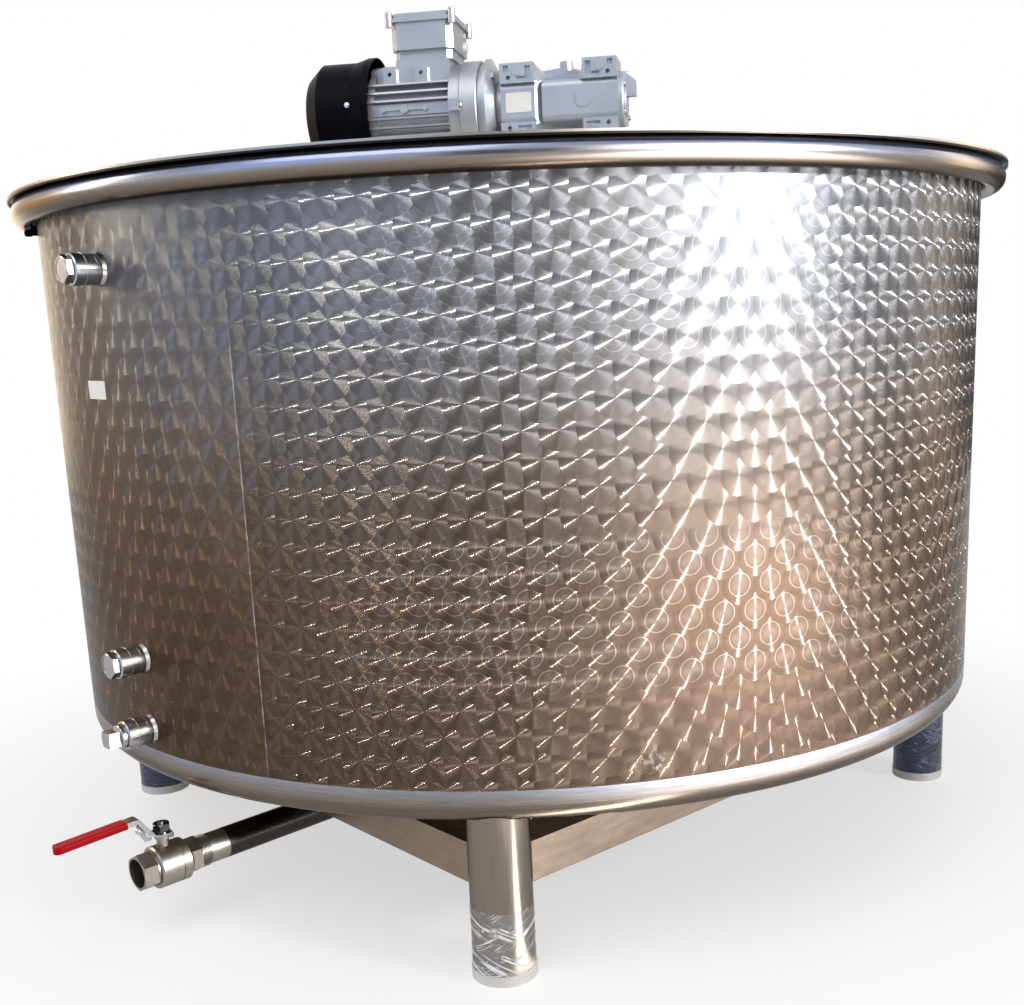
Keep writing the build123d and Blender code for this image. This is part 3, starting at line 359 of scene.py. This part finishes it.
wallSet = {
    "radius": 0.8,
    "columns": 106,  # spots once round the tank
    "rowHeight": 0.036,
    "firstRow": 0.4717,  # height of one row of spots
    "shift": -0.0013,  # place of a spot in that row, along the wall from the right-hand side
    "spotRadius": 0.0270,
    "groovePitch": 0.0009,
    "tilt": 58.0,  # steepest side of a groove, in degrees
    "dish": 3.0,  # lean of a spot's flat parts at its edge, in degrees
    "layers": 6,  # tilts that each point of the wall shows at once
    "steepFrom": (0.3, 0.6),  # tilt, as a share of the steepest, where a side starts to be steep and is
    "rough": (0.3, 0.12),  # of the flat parts and of the steep sides
    "steepPale": 0.35,  # share of its colour that a steep side loses
    "specularTint": (0.55, 0.55, 0.55, 1.0),
    # The colours by height are painted reflection: brown low down as the ground's reflection, bluish grey
    # at the top as the sky's
    "bottom": 0.36,  # height where the first colour stands, and the next one where the last does
    "crest": 1.0,
    "reflectionPaint": [(0.0, tone(85, 69, 57)), (0.28, tone(89, 72, 59)), (0.47, tone(92, 80, 71)),
                (0.66, tone(98, 93, 91)), (0.84, tone(101, 102, 107)), (1.0, tone(110, 112, 117))],
    "light": 0.86,  # and what clouds, the edge of a spot and its quarters add to it
    "cloudLight": 0.26,
    # edgeLight darkens the left edge of each spot as painted shade
    "edgeLight": -0.2,
    # quarterLight is painted reflection: two quarters of each spot lighter, the other two darker
    "quarterLight": 0.08,
    "ringRows": [(0.42, 0.62), (0.84, 1.02)],  # heights where the rings show
    "ringFade": 0.02,
    "ringMiddle": -31.0,  # middle of the first of three patches of rings round the tank, in degrees
    "ringPatches": 3.0,
    "ringLine": 0.0158,  # radius of the plain ring in each spot
    "ringWidth": 0.0011,
    "ringPitch": 0.0023,  # of the finer rings inside it
    "ringShares": (0.22, 0.2),  # how strong the plain ring and the finer ones are
    "ringColour": tone(205, 199, 192),
    "scuff": (-29.8, 0.316, 0.03),  # azimuth in degrees, height and size of a scratched spot
    "scuffShare": 0.4,
    "calmSheet": (-68.4, 0.55),  # the sheet below this azimuth has a weaker pattern, by this share
    "seam": 21.6,  # first of the four weld lines, in degrees
    "seamOffset": 0.0012,
    "seamWidth": (0.0014, 0.0004),
    "seamTop": (0.98, 0.8),  # heights where a line starts to show and shows in full
    "seamShare": 0.6,
    "seamColour": tone(188, 180, 172),
}


def nearestSpot(wire, along, z):
    # Of the two rows that overlap here, the spot on top: steps from its middle, its row and its column
    v = wallSet
    radius = v["spotRadius"]
    pitch = 2 * math.pi * v["radius"] / v["columns"]
    upper = wire.math("FLOOR", (z + radius - v["firstRow"]) / v["rowHeight"])

    def spot(row):
        rise = z - (row * v["rowHeight"] + v["firstRow"])
        odd = wire.math("FLOORED_MODULO", row, 2.0)
        start = odd * (pitch / 2) + v["shift"]
        half = wire.math("SQRT", wire.math("MAXIMUM", radius * radius - rise * rise, 0.0))
        column = wire.math("FLOOR", (along + half - start) / pitch)
        run = along - (column * pitch + start)
        away = wire.math("SQRT", run * run + rise * rise)
        return run, rise, away, row, column

    first = spot(upper)
    second = spot(upper - 1.0)
    inside = first[2].below(radius)
    return [inside.choose(b, a) for a, b in zip(first, second)]


def wallMarks(wire, point, shade, turn, z):
    # Weld lines between the sheets, and one scratched spot
    v = wallSet
    quarter = wire.math("FLOORED_MODULO", turn - math.radians(v["seam"]), math.pi / 2)
    seam = abs(quarter * v["radius"] - v["seamOffset"]).ramp(*v["seamWidth"])
    seam = seam * wire.noise(point, 60.0, 2.0).ramp(0.2, 0.7) * z.ramp(*v["seamTop"]) * v["seamShare"]
    shade = seam.mix(shade, v["seamColour"])
    scuffTurn, scuffHeight, scuffSize = v["scuff"]
    aside = (turn - math.radians(scuffTurn)) * v["radius"]
    above = z - scuffHeight
    scuff = wire.math("SQRT", aside * aside + above * above).ramp(scuffSize, scuffSize * 0.4)
    scuff = scuff * wire.noise(point, 90.0, 4.0, 0.7).ramp(0.48, 0.7)
    return (scuff * v["scuffShare"]).mix(shade, v["seamColour"])


def polishedWall():
    v = wallSet
    material, wire = startFinish("polishedWall")
    point = place(wire)
    x, y, z = (point.part(axis) for axis in range(3))
    turn = wire.math("ARCTAN2", y, x)
    radius = v["spotRadius"]
    run, rise, away, row, column = nearestSpot(wire, turn * v["radius"], z)
    reach = wire.math("MAXIMUM", away, 0.0002)
    side = run / reach
    lift = rise / reach
    spotNumber = wire.joined(row, column, 0.0)
    chance = wire.node("ShaderNodeTexWhiteNoise", {"noise_dimensions": "2D"}, {"Vector": spotNumber})
    phase = chance * 6.283
    weldTurn, weaker = v["calmSheet"]
    strength = turn.ramp(math.radians(weldTurn - 0.1), math.radians(weldTurn + 0.1)).choose(weaker, 1.0)

    # Colour by height as painted reflection, bluish grey above and brown below, with clouds, painted shade
    # at the edge of each spot, painted reflection in its quarters, and rings in patches
    share = (z - v["bottom"]) / (v["crest"] - v["bottom"])
    # Painted reflection: brown at the bottom of the wall, bluish grey at the top
    paintedReflection = wire.node("ShaderNodeValToRGB", {"stops": v["reflectionPaint"]}, {"Fac": share})
    cloud = wire.noise(wire.vector("MULTIPLY", point, (1.0, 1.0, 0.45)), 6.0, 4.0, 0.6).ramp(0.3, 0.7)
    # Painted shade: each spot darker in a crescent at its left edge
    paintedCrescentShade = away.ramp(radius * 0.55, radius) * (-side).ramp(0.1, 0.9) * strength
    light = v["light"] + cloud * v["cloudLight"] + paintedCrescentShade * v["edgeLight"]
    # Painted reflection: the upper right and lower left quarters of a spot lighter, the others darker
    light = light + side * lift * v["quarterLight"]
    fade = v["ringFade"]
    ringed = sum(z.ramp(low - fade, low + fade) * z.ramp(high + fade, high - fade)
                 for low, high in v["ringRows"])
    patches = wire.math("COSINE", (turn - math.radians(v["ringMiddle"])) * v["ringPatches"])
    ringed = ringed * patches.ramp(-0.1, 0.5)
    ringLine = abs(away - v["ringLine"]).ramp(v["ringWidth"], 0.0)
    rings = wire.math("SINE", away * (2 * math.pi / v["ringPitch"]) + phase)
    fineLine = rings.ramp(0.2, 1.0) * away.ramp(0.016, 0.004)
    lineShare, fineShare = v["ringShares"]
    ringed = ringed * (ringLine * lineShare + fineLine * fineShare)
    shade = ringed.mix(paintedReflection.tint(light.grey()), v["ringColour"])
    shade = wallMarks(wire, point, shade, turn, z)
    plain = wire.node("ShaderNodeRGBToBW", {}, {"Color": shade}).grey()

    # Each layer has the tilt of another part of the groove, and all are mixed in equal shares
    outward = wire.vector("NORMALIZE", wire.joined(x, y, 0.0))
    across = wire.vector("CROSS_PRODUCT", (0.0, 0.0, 1.0), outward)
    uphill = wire.vector("ADD", across.scaled(side), wire.joined(0.0, 0.0, lift))
    layers = []
    for index in range(v["layers"]):
        start = phase + index * (2.0 / v["layers"])
        groove = wire.math("PINGPONG", away * (2 / v["groovePitch"]) + start, 1.0) * 2 - 1
        steep = groove * abs(groove) * math.radians(v["tilt"])  # mostly flat, with a few steep sides
        tilt = steep + strength * away * (math.radians(v["dish"]) / radius)
        flat = outward.scaled(wire.math("COSINE", tilt))
        normal = wire.vector("ADD", flat, uphill.scaled(wire.math("SINE", tilt)))
        steepness = abs(groove).ramp(*v["steepFrom"]) * strength
        layers.append(wire.node("ShaderNodeBsdfPrincipled", {}, {
            "Base Color": (steepness * v["steepPale"]).mix(shade, plain), "Metallic": 1.0,
            "Roughness": steepness.choose(*v["rough"]), "Normal": normal,
            "Specular Tint": v["specularTint"]}))
    mixed = layers[0]
    for count, layer in enumerate(layers[1:], 2):
        mixed = wire.node("ShaderNodeMixShader", {}, {0: 1 / count, 1: mixed, 2: layer})
    wire.node("ShaderNodeOutputMaterial", {}, {"Surface": mixed})
    return material


# Finishes of everything else

def brushed(name, colour, grain=(1.0, 1.0, 60.0), rough=0.3, depth=0.3, contrast=0.25, paintedBands=None):
    # Sheet or tube with a fine grain drawn along one direction, and painted reflection and shade by height
    # if it has painted bands
    material, wire = startFinish(name)
    point = place(wire)
    drawn = wire.node("ShaderNodeMapping", {}, {"Vector": point, "Scale": grain})
    lines = wire.noise(drawn, 12.0, 4.0, 0.7)
    cloud = wire.noise(point, 5.0, 3.0)
    light = 0.92 - contrast * 0.5 + lines * contrast + cloud * 0.18
    shade = wire.math("MAXIMUM", light, 0.0).grey()
    # Painted reflection and painted shade by height, from the bands
    if paintedBands:
        low, high, stops = paintedBands
        share = (point.part(2) - low) / (high - low)
        colour = wire.node("ShaderNodeValToRGB", {"stops": stops}, {"Fac": share})
    sockets = {"Base Color": shade.tint(colour), "Metallic": 1.0, "Roughness": rough + lines * 0.12,
               "Normal": wire.bump(lines, depth, 0.0003), "Specular Tint": (0.6, 0.6, 0.6, 1.0)}
    return closeFinish(material, wire, sockets)


def cast(name, colour, rough=0.45, metal=0.3, shine=0.5):
    # Painted or bare casting with a faint pebble
    material, wire = startFinish(name)
    point = place(wire)
    pebble = wire.noise(point, 380.0, 3.0, 0.6)
    cloud = wire.noise(point, 18.0, 3.0)
    shade = (0.86 + cloud * 0.26).grey().tint(colour)
    sockets = {"Base Color": shade, "Metallic": metal, "Roughness": rough + cloud * 0.1,
               "Normal": wire.bump(pebble, 0.35, 0.0006), "Specular IOR Level": shine}
    return closeFinish(material, wire, sockets)


# Creases lean by these angles, in radians, and are long along one way and close along the other
creaseSet = {"slants": (0.62, -0.5, 0.2), "along": 14.0, "close": 330.0, "edge": (0.55, 0.63)}


def film(name, colour, clear, creased):
    # Stretched plastic film with bright creases, clear where it lies flat
    material, wire = startFinish(name)
    point = place(wire)
    view = math.radians(cameraSet["turn"])
    z = point.part(2)
    across = point.part(0) * math.cos(view) + point.part(1) * math.sin(view)
    fold = wire.noise(point, 42.0, 4.0, 0.7).ramp(0.6, 0.7)
    for slant in creaseSet["slants"]:
        run = (across * math.cos(slant) + z * math.sin(slant)) * creaseSet["along"]
        rise = (z * math.cos(slant) - across * math.sin(slant)) * creaseSet["close"]
        lines = wire.noise(wire.joined(run, rise, slant), 1.0, 2.0, 0.5).ramp(*creaseSet["edge"])
        patch = wire.noise(wire.joined(slant, across, z), 26.0, 2.0).ramp(0.42, 0.56)
        fold = wire.math("MAXIMUM", fold, lines * patch)
    sockets = {"Base Color": (0.75 + fold * 0.35).grey().tint(colour), "Roughness": 0.16 + fold * 0.2,
               "Alpha": fold.choose(clear, creased), "Normal": wire.bump(fold, 0.8, 0.001)}
    return closeFinish(material, wire, sockets)


# Painted reflection and painted shade by height, between a low and a high place in metres
# Rim: painted shade dark at its underside and at its top under the lid, brown painted reflection below and
# bluish grey painted reflection above
rimPaintedLight = (1.065, 1.103, [
    (0.0, tone(50, 40, 34)), (0.12, tone(92, 79, 68)), (0.35, tone(122, 113, 105)),
    (0.52, tone(148, 148, 154)), (0.7, tone(122, 130, 156)), (0.88, tone(98, 100, 112)),
    (1.0, tone(60, 54, 52))])
# Lid: its lower lip painted dark as shade, its top edge in its own pale colour
lidPaintedShade = (1.1003, 1.1063, [
    (0.0, tone(36, 32, 30)), (0.42, tone(46, 41, 38)), (0.56, tone(158, 154, 148)),
    (1.0, tone(164, 160, 154))])
# Bottom band: brown painted reflection below and bluish grey painted reflection above, darker at its top
# edge
bottomPaintedLight = (0.262, 0.292, [
    (0.0, tone(104, 94, 84)), (0.4, tone(126, 120, 116)), (0.75, tone(132, 134, 142)),
    (0.93, tone(140, 143, 150)), (1.0, tone(70, 62, 58))])
finishes = {
    "wall": polishedWall(),
    "rim": brushed("rimTube", tone(128, 124, 122), (1.5, 1.5, 30.0), 0.18, 0.15, 0.35, rimPaintedLight),
    "bottom": brushed("bottomBand", tone(118, 114, 112), (1.5, 1.5, 34.0), 0.2, 0.35, 0.9, bottomPaintedLight),
    "lid": brushed("lidSheet", tone(160, 156, 150), (3.0, 60.0, 3.0), 0.26, 0.2, 0.25, lidPaintedShade),
    "leg": brushed("legTube", tone(124, 115, 106), (30.0, 30.0, 1.2), 0.15, 0.25, 0.5),
    "beam": brushed("beamTube", tone(136, 120, 106), (2.0, 2.0, 10.0), 0.3, 0.25, 0.6),
    "cap": cast("footCap", tone(206, 204, 200), 0.5, 0.0),
    "fitting": brushed("fitting", tone(168, 166, 166), (6.0, 6.0, 6.0), 0.16, 0.06, 0.2),
    "valve": brushed("valveSteel", tone(146, 139, 131), (9.0, 9.0, 9.0), 0.26, 0.1, 0.25),
    "pipe": brushed("darkPipe", tone(62, 58, 56), (40.0, 40.0, 6.0), 0.22, 0.2, 0.3),
    "chrome": brushed("ballChrome", tone(205, 205, 208), (10.0, 10.0, 10.0), 0.08, 0.02),
    "nut": brushed("darkChrome", tone(96, 96, 100), (10.0, 10.0, 10.0), 0.14, 0.02),
    "red": cast("gripRed", tone(176, 6, 18), 0.4, 0.0, 0.05),
    "gear": cast("gearCasting", tone(160, 165, 175), 0.34, 0.5),
    "motor": cast("motorCasting", tone(158, 161, 167), 0.32, 0.5),
    "black": cast("cowlBlack", tone(3, 4, 10), 0.34, 0.0, 0.04),
    "screw": brushed("screwSteel", tone(186, 188, 192), (9.0, 9.0, 9.0), 0.2, 0.04),
    "sticker": cast("plainSticker", tone(226, 225, 222), 0.5, 0.0),
    "film": film("clearFilm", tone(236, 238, 242), 0.1, 0.9),
    "blueFilm": film("blueFilm", tone(52, 64, 96), 0.8, 0.97),
}

# The finish of a node is given by the longest of these starts of its name
nodeFinish = {
    "wall_sheet": "wall", "rim": "rim", "tank_bottom": "bottom", "lid": "lid", "leg_feet": "cap",
    "leg": "leg", "beam": "beam", "port": "fitting", "drain_pipe": "pipe", "drain_nipple": "valve",
    "valve": "valve", "valve_ball": "chrome", "valve_lever": "fitting", "lever_grip": "red",
    "lever_nut": "nut", "drive_pedestal": "gear", "gear": "gear", "motor": "motor",
    "terminal": "motor", "fan_cowl": "black", "stirrer": "fitting",
}


def dress():
    for name, node in nodes.items():
        start = max((key for key in nodeFinish if name.startswith(key)), key=len)
        node.data.materials.clear()
        node.data.materials.append(finishes[nodeFinish[start]])


dress()
print("finishes given")

# Small pieces that the solids leave out

# Places of the gear and of the valve, as on the solids: azimuths in degrees, the rest in metres
driveSet = {"azimuth": 38.5, "offset": 0.1145, "height": 1.2433, "wormSide": -0.086}
valveSet = {"azimuth": -86.4, "away": 0.8, "height": 0.10307}
sideways = Matrix.Rotation(math.pi / 2, 4, "Y")  # local Z axis along X
frontward = Matrix.Rotation(math.pi / 2, 4, "X")  # local Z axis against Y


def standing(azimuth, away, height):
    turn = Matrix.Rotation(math.radians(azimuth), 4, "Z")
    return turn @ Matrix.Translation((away, 0.0, height))


drive = standing(driveSet["azimuth"], driveSet["offset"], driveSet["height"])
worm = drive @ Matrix.Translation((0.0, driveSet["wormSide"], 0.0))


def circle(build, matrix, radii, height, sides):
    # Ring of points round the local Z axis, with one radius for all or one for each
    points = []
    for step in range(sides):
        angle = 2 * math.pi * step / sides
        radius = radii[step] if isinstance(radii, list) else radii
        spot = Vector((radius * math.cos(angle), radius * math.sin(angle), height))
        points.append(build.verts.new(matrix @ spot))
    return points


def joinRings(build, low, high):
    # Faces between two rings, either of which may be one point
    sides = max(len(low), len(high))
    for step in range(sides):
        after = (step + 1) % sides
        if len(low) == 1:
            build.faces.new((low[0], high[after], high[step]))
        elif len(high) == 1:
            build.faces.new((low[step], low[after], high[0]))
        else:
            build.faces.new((low[step], low[after], high[after], high[step]))


def turned(build, matrix, profile, sides=24, ring=False):
    # Profile of radius and height pairs turned round the local Z axis, closed on it or as a ring
    rows = []
    for radius, height in profile:
        if radius:
            rows.append(circle(build, matrix, radius, height, sides))
        else:
            rows.append([build.verts.new(matrix @ Vector((0, 0, height)))])
    if ring:
        rows.append(rows[0])
    for low, high in zip(rows, rows[1:]):
        joinRings(build, low, high)


def boxed(build, matrix, low, high):
    corners = [(x, y, z) for x in (low[0], high[0]) for y in (low[1], high[1]) for z in (low[2], high[2])]
    made = [build.verts.new(matrix @ Vector(corner)) for corner in corners]
    for face in ((0, 1, 3, 2), (4, 6, 7, 5), (0, 4, 5, 1), (2, 3, 7, 6), (0, 2, 6, 4), (1, 5, 7, 3)):
        build.faces.new([made[index] for index in face])


def addPiece(name, fill, finish):
    mesh = bpy.data.meshes.new(name)
    build = bmesh.new()
    fill(build)
    bmesh.ops.recalc_face_normals(build, faces=build.faces)
    build.to_mesh(mesh)
    build.free()
    mesh.materials.append(finishes[finish])
    mesh.shade_smooth()
    mesh.set_sharp_from_angle(angle=math.radians(40.0))
    piece = bpy.data.objects.new(name, mesh)
    sceneSet.collection.objects.link(piece)
    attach(piece, "tank")


def onWorm(x, y, z, turn=Matrix.Identity(4)):
    # Place on the axis of the worm and the motor
    return worm @ Matrix.Translation((x, y, z)) @ turn


def around(count, radius, start=0.0):
    for step in range(count):
        angle = math.radians(start + 360 * step / count)
        yield radius * math.cos(angle), radius * math.sin(angle)


# Bolts and screws: pairs of radius and height of each head, then where each lot sits
boltSet = {
    "hexHead": [(0, -0.004), (0.0066, -0.004), (0.0066, 0.0046), (0.0058, 0.0053), (0, 0.0053)],
    "panHead": [(0, -0.002), (0.005, -0.002), (0.005, 0.001), (0.0042, 0.0024), (0.0022, 0.003),
                (0, 0.003)],
    "smallHead": [(0, -0.002), (0.0042, -0.002), (0.0042, 0.0028), (0.0036, 0.0034), (0.0021, 0.0034),
                  (0.0021, 0.0012), (0, 0.0012)],
    "roundSides": 20,
    "flange": {"count": 4, "circle": 0.0665, "start": 45.0, "x": -0.1135},
    "tie": {"places": ((-0.082, 0.0), (0.082, 0.0), (0.0, -0.082)), "x": -0.162},
    "cowl": {"count": 4, "start": -6.0, "x": -0.352, "out": 0.09},
    "lid": {"x": -0.226, "halfX": 0.0535, "halfY": 0.0625, "z": 0.1528},
    "cover": {"count": 6, "start": 30.0, "topCircle": 0.037, "top": 0.067, "endCircle": 0.043,
              "end": 0.106},
}


def flangeBolts(build):
    v = boltSet["flange"]
    for y, z in around(v["count"], v["circle"], v["start"]):
        turned(build, onWorm(v["x"], y, z, sideways), boltSet["hexHead"], 6)


def tieBolts(build):
    v = boltSet["tie"]
    for y, z in v["places"]:
        turned(build, onWorm(v["x"], y, z, sideways), boltSet["smallHead"], 6)


def cowlScrews(build):
    v = boltSet["cowl"]
    for step in range(v["count"]):
        roll = Matrix.Rotation(math.radians(360 * step / v["count"] + v["start"]), 4, "X")
        spot = worm @ roll @ Matrix.Translation((v["x"], -v["out"], 0)) @ frontward
        turned(build, spot, boltSet["panHead"], boltSet["roundSides"])


def lidScrews(build):
    v = boltSet["lid"]
    for x in (-v["halfX"], v["halfX"]):
        for y in (-v["halfY"], v["halfY"]):
            turned(build, onWorm(v["x"] + x, y, v["z"]), boltSet["panHead"], boltSet["roundSides"])


def coverScrews(build):
    v = boltSet["cover"]
    for x, y in around(v["count"], v["topCircle"], v["start"]):
        spot = drive @ Matrix.Translation((x, y, v["top"]))
        turned(build, spot, boltSet["smallHead"], boltSet["roundSides"])
    for y, z in around(v["count"], v["endCircle"], v["start"]):
        turned(build, onWorm(v["end"], y, z, sideways), boltSet["smallHead"], boltSet["roundSides"])


# Blind plug in the side of the terminal box
plugSet = {"place": (-0.174, 0.03, 0.108),
           "profile": [(0, -0.002), (0.009, -0.002), (0.009, 0.004), (0.0075, 0.006), (0, 0.006)]}


def boxPlug(build):
    turned(build, onWorm(*plugSet["place"], sideways), plugSet["profile"], 20)


# Bare plate on the worm housing, with rounded corners and a rivet in each
plateSet = {"left": -0.089, "right": -0.046, "low": -0.0145, "high": 0.0165, "corner": 0.003,
            "back": -0.0568, "front": -0.0577, "cornerSteps": 4,
            "rivet": [(0, -0.0002), (0.0013, -0.0002), (0.0012, 0.0005), (0.0006, 0.0009), (0, 0.0009)]}


def labelPlate(build):
    v = plateSet
    middleX = (v["left"] + v["right"]) / 2
    middleZ = (v["low"] + v["high"]) / 2
    outline = []
    for quarter, (x, z) in enumerate(((v["right"], v["high"]), (v["left"], v["high"]),
                                      (v["left"], v["low"]), (v["right"], v["low"]))):
        inX = x - math.copysign(v["corner"], x - middleX)
        inZ = z - math.copysign(v["corner"], z - middleZ)
        for step in range(v["cornerSteps"] + 1):
            angle = math.radians(90 * (quarter + step / v["cornerSteps"]))
            outline.append((inX + v["corner"] * math.cos(angle), inZ + v["corner"] * math.sin(angle)))
        turned(build, onWorm(inX, v["front"], inZ, frontward), v["rivet"], 12)
    back, front = ([build.verts.new(worm @ Vector((x, y, z))) for x, z in outline]
                   for y in (v["back"], v["front"]))
    build.faces.new(back)
    build.faces.new(front)
    joinRings(build, back, front)


# Turns of thread on the nipple, from the valve inward
threadSet = {"start": -0.0545, "pitch": 0.0023, "turns": 7, "root": 0.0234, "crest": 0.0253, "half": 0.0009}


def threadRings(build):
    v = threadSet
    valve = standing(valveSet["azimuth"], valveSet["away"], valveSet["height"])
    for step in range(v["turns"]):
        low = v["start"] - step * v["pitch"]
        profile = [(v["root"], low), (v["crest"], low + v["half"]), (v["root"], low + 2 * v["half"])]
        turned(build, valve @ sideways, profile, 40, True)


# Bare level mark: a thin curved strip on the wall
markSet = {"azimuth": -89.93, "height": 0.819, "half": 0.028, "tall": 0.026, "sunk": 0.0001,
           "reach": 0.0004, "columns": 12}


def levelSticker(build):
    v = markSet
    wall = wallSet["radius"]
    rows = []
    for radius in (wall - v["sunk"], wall + v["reach"]):
        for level in (v["height"] - v["tall"] / 2, v["height"] + v["tall"] / 2):
            row = []
            for step in range(v["columns"] + 1):
                angle = math.radians(v["azimuth"]) + v["half"] * (2 * step / v["columns"] - 1) / wall
                row.append(build.verts.new((radius * math.cos(angle), radius * math.sin(angle), level)))
            rows.append(row)
    inLow, inHigh, outLow, outHigh = rows
    for a, b in ((outLow, outHigh), (inHigh, inLow), (inLow, outLow), (outHigh, inHigh)):
        for step in range(v["columns"]):
            build.faces.new((a[step], a[step + 1], b[step + 1], b[step]))
    for step in (0, v["columns"]):
        build.faces.new((inLow[step], outLow[step], outHigh[step], inHigh[step]))


# Clip under the rim: a block on the wall and a knob on it
clipSet = {"azimuth": -111.0, "low": (0.7995, -0.004, 1.053), "high": (0.809, 0.004, 1.0685),
           "knobAway": 0.808, "knobHeight": 1.057,
           "knob": [(0, 0), (0.0055, 0), (0.0055, 0.008), (0.0045, 0.0105), (0.002, 0.0115), (0, 0.0115)]}


def rimClip(build):
    v = clipSet
    boxed(build, Matrix.Rotation(math.radians(v["azimuth"]), 4, "Z"), v["low"], v["high"])
    turned(build, standing(v["azimuth"], v["knobAway"], v["knobHeight"]) @ sideways, v["knob"])


# Film round each leg: its top edge and finish, then the sizes that all share
filmSet = {
    "legs": {"front_right": (1, -1, 0.108, "film"), "back_right": (1, 1, 0.17, "blueFilm"),
             "back_left": (-1, 1, 0.17, "blueFilm"), "front_left": (-1, -1, 0.17, "blueFilm")},
    "legOffset": 0.528951,
    "low": 0.0152,
    "inside": 0.04447,
    "outside": 0.0452,
    "crumple": 0.0005,
    "sides": 72,
    "rows": 24,
    "seed": 7,
}


def filmWrap(build, side, front, top):
    v = filmSet
    chance = random.Random(v["seed"])
    leg = Matrix.Translation((side * v["legOffset"], front * v["legOffset"], 0))
    rings = []
    for row in range(v["rows"] + 1):
        level = v["low"] + (top - v["low"]) * row / v["rows"]
        radii = [v["outside"] + v["crumple"] * chance.random() for step in range(v["sides"])]
        rings.append(circle(build, leg, radii, level, v["sides"]))
    for level in (top, v["low"]):
        rings.append(circle(build, leg, v["inside"], level, v["sides"]))
    for below, above in zip(rings, rings[1:] + rings[:1]):
        joinRings(build, below, above)


def addPieces():
    addPiece("flange_bolts", flangeBolts, "screw")
    addPiece("tie_bolts", tieBolts, "screw")
    addPiece("cowl_screws", cowlScrews, "screw")
    addPiece("terminal_lid_screws", lidScrews, "screw")
    addPiece("cover_screws", coverScrews, "screw")
    addPiece("terminal_box_plug", boxPlug, "sticker")
    addPiece("label_plate", labelPlate, "sticker")
    addPiece("nipple_thread", threadRings, "valve")
    addPiece("level_sticker", levelSticker, "sticker")
    addPiece("rim_clip", rimClip, "black")
    for name, (side, front, top, finish) in filmSet["legs"].items():
        addPiece("leg_film_" + name, lambda build: filmWrap(build, side, front, top), finish)


addPieces()
print("small pieces added")
